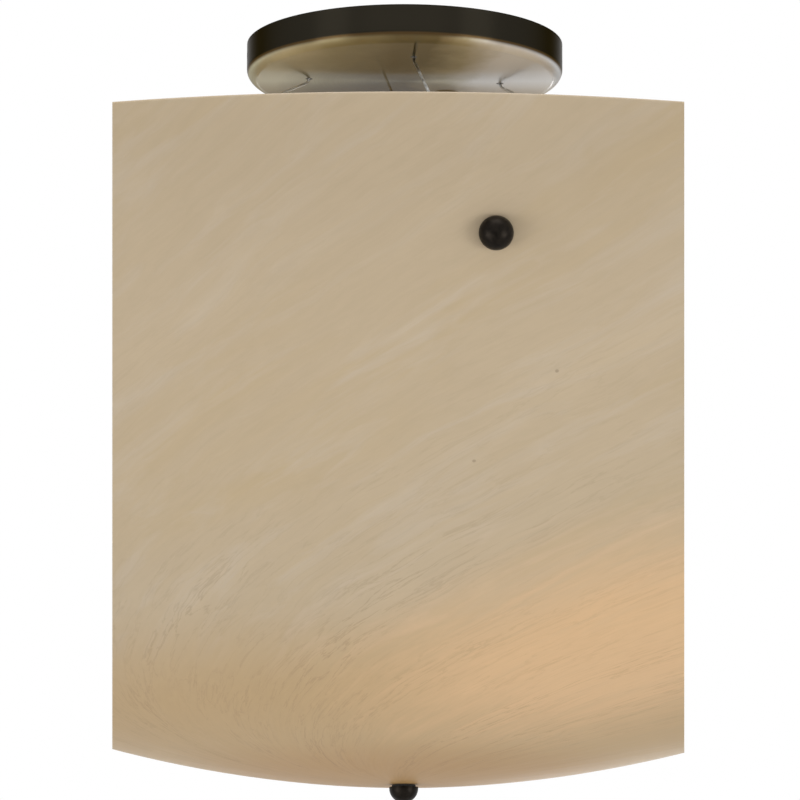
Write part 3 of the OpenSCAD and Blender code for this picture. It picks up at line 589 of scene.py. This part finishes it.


# Antique bronze: spun sheet, plated, brushed on the lathe and lacquered; the wall's darker colour
# is painted shade
def antiqueBronze(look):
    material, tree, shader, place = startMaterial(
        "antiqueBronze", Metallic=1.0, Anisotropic=0.9, Anisotropic_Rotation=0.25,
        Coat_Roughness=0.03, Specular_Tint=look["grazing"])
    apart = addNode(tree, "SeparateXYZ", {"Vector": place})
    level = addNode(tree, "CombineXYZ", {"X": apart.outputs["X"], "Y": apart.outputs["Y"]})
    radius = addNode(tree, "VectorMath", {0: level}, operation="LENGTH")
    height = addNode(tree, "Math", {0: apart.outputs["Z"], 1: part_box("canopy")[0].z},
                     operation="SUBTRACT")

    # The face: painted reflections of the lamps and the bowl across it, browner at the back and
    # darker in the middle
    paintedReflection = addNode(tree, "TexNoise", {"Vector": place, "Scale": perMetre(look["reflectionSize"]),
                                        "Detail": 4.0, "Roughness": 0.6})
    skewed = addNode(tree, "VectorMath", {0: place, 1: (1, look["reflectionSkew"], 0)},
                     operation="DOT_PRODUCT")
    across = addNode(tree, "MapRange", {"Value": skewed, "From Min": -look["reflectionReach"],
                                        "From Max": look["reflectionReach"]})
    sway = addNode(tree, "MapRange", {"Value": paintedReflection, "To Min": -look["reflectionSway"],
                                      "To Max": look["reflectionSway"]})
    swayed = addNode(tree, "Math", {0: across, 1: sway}, operation="ADD")
    toned = addNode(tree, "ValToRGB", {"Fac": swayed}, stops=look["paintedReflection"])
    backReflectionShare = addNode(tree, "MapRange", {"Value": apart.outputs["Y"],
                                           "From Max": look["backReflectionEnd"]})
    tinted = addNode(tree, "Mix", {0: backReflectionShare, 6: toned, 7: look["backReflection"]},
                     data_type="RGBA", blend_type="MULTIPLY")
    middle = addNode(tree, "MapRange", {"Value": radius, "From Min": look["middleStart"],
                                        "From Max": look["middleEnd"], "To Min": 1.0,
                                        "To Max": look["middleDark"]})
    face = addNode(tree, "VectorMath", {0: tinted, "Scale": middle}, operation="SCALE")

    # From the wall's painted shade down over the rounded edge to the face's painted reflections
    tone = look["wall"]
    for start, end, colour in (("edgeStart", "edgeEnd", look["edge"]),
                               ("edgeEnd", "faceStart", face)):
        share = addNode(tree, "MapRange", {"Value": height, "From Min": look[start],
                                           "From Max": look[end]}, interpolation_type="SMOOTHSTEP")
        tone = addNode(tree, "Mix", {0: share, 6: tone, 7: colour}, data_type="RGBA")
    lacquer = addNode(tree, "MapRange", {"Value": height, "From Min": look["lacquerEnd"],
                                         "From Max": 0.0, "To Max": look["lacquer"]})
    rings = addNode(tree, "TexNoise", {"W": radius, "Scale": perMetre(look["ringSize"]),
                                       "Detail": 2.0}, noise_dimensions="1D")
    rough = addNode(tree, "MapRange", {"Value": rings, "To Min": look["rough"][0],
                                       "To Max": look["rough"][1]})
    bump = addNode(tree, "Bump", {"Height": rings, "Strength": look["ringStrength"],
                                  "Distance": look["ringHeight"]})
    tangent = addNode(tree, "Tangent", direction_type="RADIAL", axis="Z")
    setInputs(tree, shader, {"Base Color": tone, "Coat Weight": lacquer, "Roughness": rough,
                             "Tangent": tangent, "Normal": bump})
    return material


# Where most of a noise's values lie, for tones and for gloss, and how strong a bump is
finishSpread = {"tones": (0.35, 0.65), "gloss": (0.3, 0.7), "bumpStrength": 0.3}


# A finish is one surface: two tones that a noise mixes, a range of roughness and a slight bump.
# Its sizes are in millimetres
def surface(name, tones, rough, spotSize, bumpSize, bumpHeight, **constants):
    material, tree, shader, place = startMaterial(name, **constants)
    spots = addNode(tree, "TexNoise", {"Vector": place, "Scale": perMetre(spotSize),
                                       "Detail": 4.0, "Roughness": 0.6})
    tone = addNode(tree, "ValToRGB", {"Fac": spots}, stops=zip(finishSpread["tones"], tones))
    least, most = finishSpread["gloss"]
    gloss = addNode(tree, "MapRange", {"Value": spots, "From Min": least, "From Max": most,
                                       "To Min": rough[0], "To Max": rough[1]})
    grain = addNode(tree, "TexNoise", {"Vector": place, "Scale": perMetre(bumpSize), "Detail": 3.0})
    bump = addNode(tree, "Bump", {"Height": grain, "Strength": finishSpread["bumpStrength"],
                                  "Distance": bumpHeight * mm})
    setInputs(tree, shader, {"Base Color": tone, "Roughness": gloss, "Normal": bump})
    return material


# Each finish, how the real one is made, and the nodes that have it
finishes = [
    # Blackened bronze: turned, blackened and waxed, so it is near black with a soft shine
    (surface("blackenedBronze", tones=("#1b1815", "#25211d"), rough=(0.36, 0.5),
             spotSize=3, bumpSize=0.5, bumpHeight=0.02, Metallic=1.0),
     [f"knob_{side}" for side in sides] + ["finial"]),
    # Black oxide on steel screws: flat black with a dull metal shine
    (surface("blackOxide", tones=("#1d1b1a", "#2b2826"), rough=(0.4, 0.55),
             spotSize=2, bumpSize=0.4, bumpHeight=0.02, Metallic=1.0),
     ["canopy_set_screws"]),
    # Zinc-plated steel sheet and threads: pressed, plated, faint blotches
    (surface("zincPlate", tones=("#a3a7aa", "#bfc2c4"), rough=(0.32, 0.5),
             spotSize=9, bumpSize=0.8, bumpHeight=0.02, Metallic=1.0),
     ["mounting_plate", "seat_plate", "centre_stud", "centre_nut", "lamp_arms", "arm_nuts"]),
    # Turned and swaged steel: bright, with drawn marks too fine to see
    (surface("brightSteel", tones=("#b7b9ba", "#d2d3d3"), rough=(0.22, 0.34),
             spotSize=4, bumpSize=0.5, bumpHeight=0.01, Metallic=1.0),
     ["cable_stops", "cable_terminals", "cover_screws"]),
    # Green passivated steel, the colour of an earth terminal
    (surface("greenPassivate", tones=("#2f6238", "#41804a"), rough=(0.35, 0.5),
             spotSize=3, bumpSize=0.5, bumpHeight=0.02, Metallic=1.0),
     ["ground_screw"]),
    # Stamped brass, slightly tarnished
    (surface("stampedBrass", tones=("#a07f45", "#c29d5c"), rough=(0.28, 0.42),
             spotSize=5, bumpSize=0.6, bumpHeight=0.01, Metallic=1.0),
     ["terminal_screws", "screw_shells", "lamp_contacts"]),
    # White baked enamel on sheet steel: an even gloss with a faint orange peel
    (surface("bakedEnamel", tones=("#dcdad3", "#e6e4de"), rough=(0.28, 0.36),
             spotSize=30, bumpSize=1.6, bumpHeight=0.03, IOR=1.5, Coat_Weight=0.2,
             Coat_Roughness=0.1),
     ["cluster_body", "cluster_cover"]),
    # Glazed porcelain: warm white, a wet gloss that pools a little
    (surface("glazedPorcelain", tones=("#e2ddd0", "#eeeae1"), rough=(0.1, 0.2),
             spotSize=12, bumpSize=5, bumpHeight=0.05, IOR=1.52, Coat_Weight=0.5,
             Coat_Roughness=0.05),
     [f"lampholder_{number}" for number in lampNumbers] + ["terminal_block"]),
    # Rolled aluminium of the bulb caps: bright, with a faint grain
    (surface("rolledAluminium", tones=("#b9babb", "#d0d1d1"), rough=(0.3, 0.42),
             spotSize=4, bumpSize=0.5, bumpHeight=0.01, Metallic=1.0),
     [f"bulb_cap_{number}" for number in lampNumbers]),
    # Moulded nylon: dark, with a fine spark-eroded grain
    (surface("mouldedNylon", tones=("#262628", "#313133"), rough=(0.42, 0.55),
             spotSize=6, bumpSize=0.35, bumpHeight=0.03, IOR=1.53),
     ["canopy_cord_gland", "canopy_gland_nut", "cluster_cord_gland", "cluster_gland_nut",
      "cable_bushings"]),
    # Moulded rubber: black, dusty and matt
    (surface("mouldedRubber", tones=("#161617", "#232324"), rough=(0.65, 0.85),
             spotSize=5, bumpSize=0.3, bumpHeight=0.03, IOR=1.52),
     ["inner_washers", "outer_washers", "bowl_gasket", "finial_washer"]),
    # Woven glass sleeve of the leads, soaked in silicone: off-white and matt
    (surface("siliconeSleeve", tones=("#d6d0c2", "#e3ded3"), rough=(0.55, 0.7),
             spotSize=5, bumpSize=0.5, bumpHeight=0.06, IOR=1.45),
     ["lamp_leads"]),
    (antiqueBronze(canopyLook), ["canopy"]),
]
for material, nodeNames in finishes:
    for nodeName in nodeNames:
        for slot in nodes[nodeName].material_slots:
            slot.material = material
print("stage: finishes")
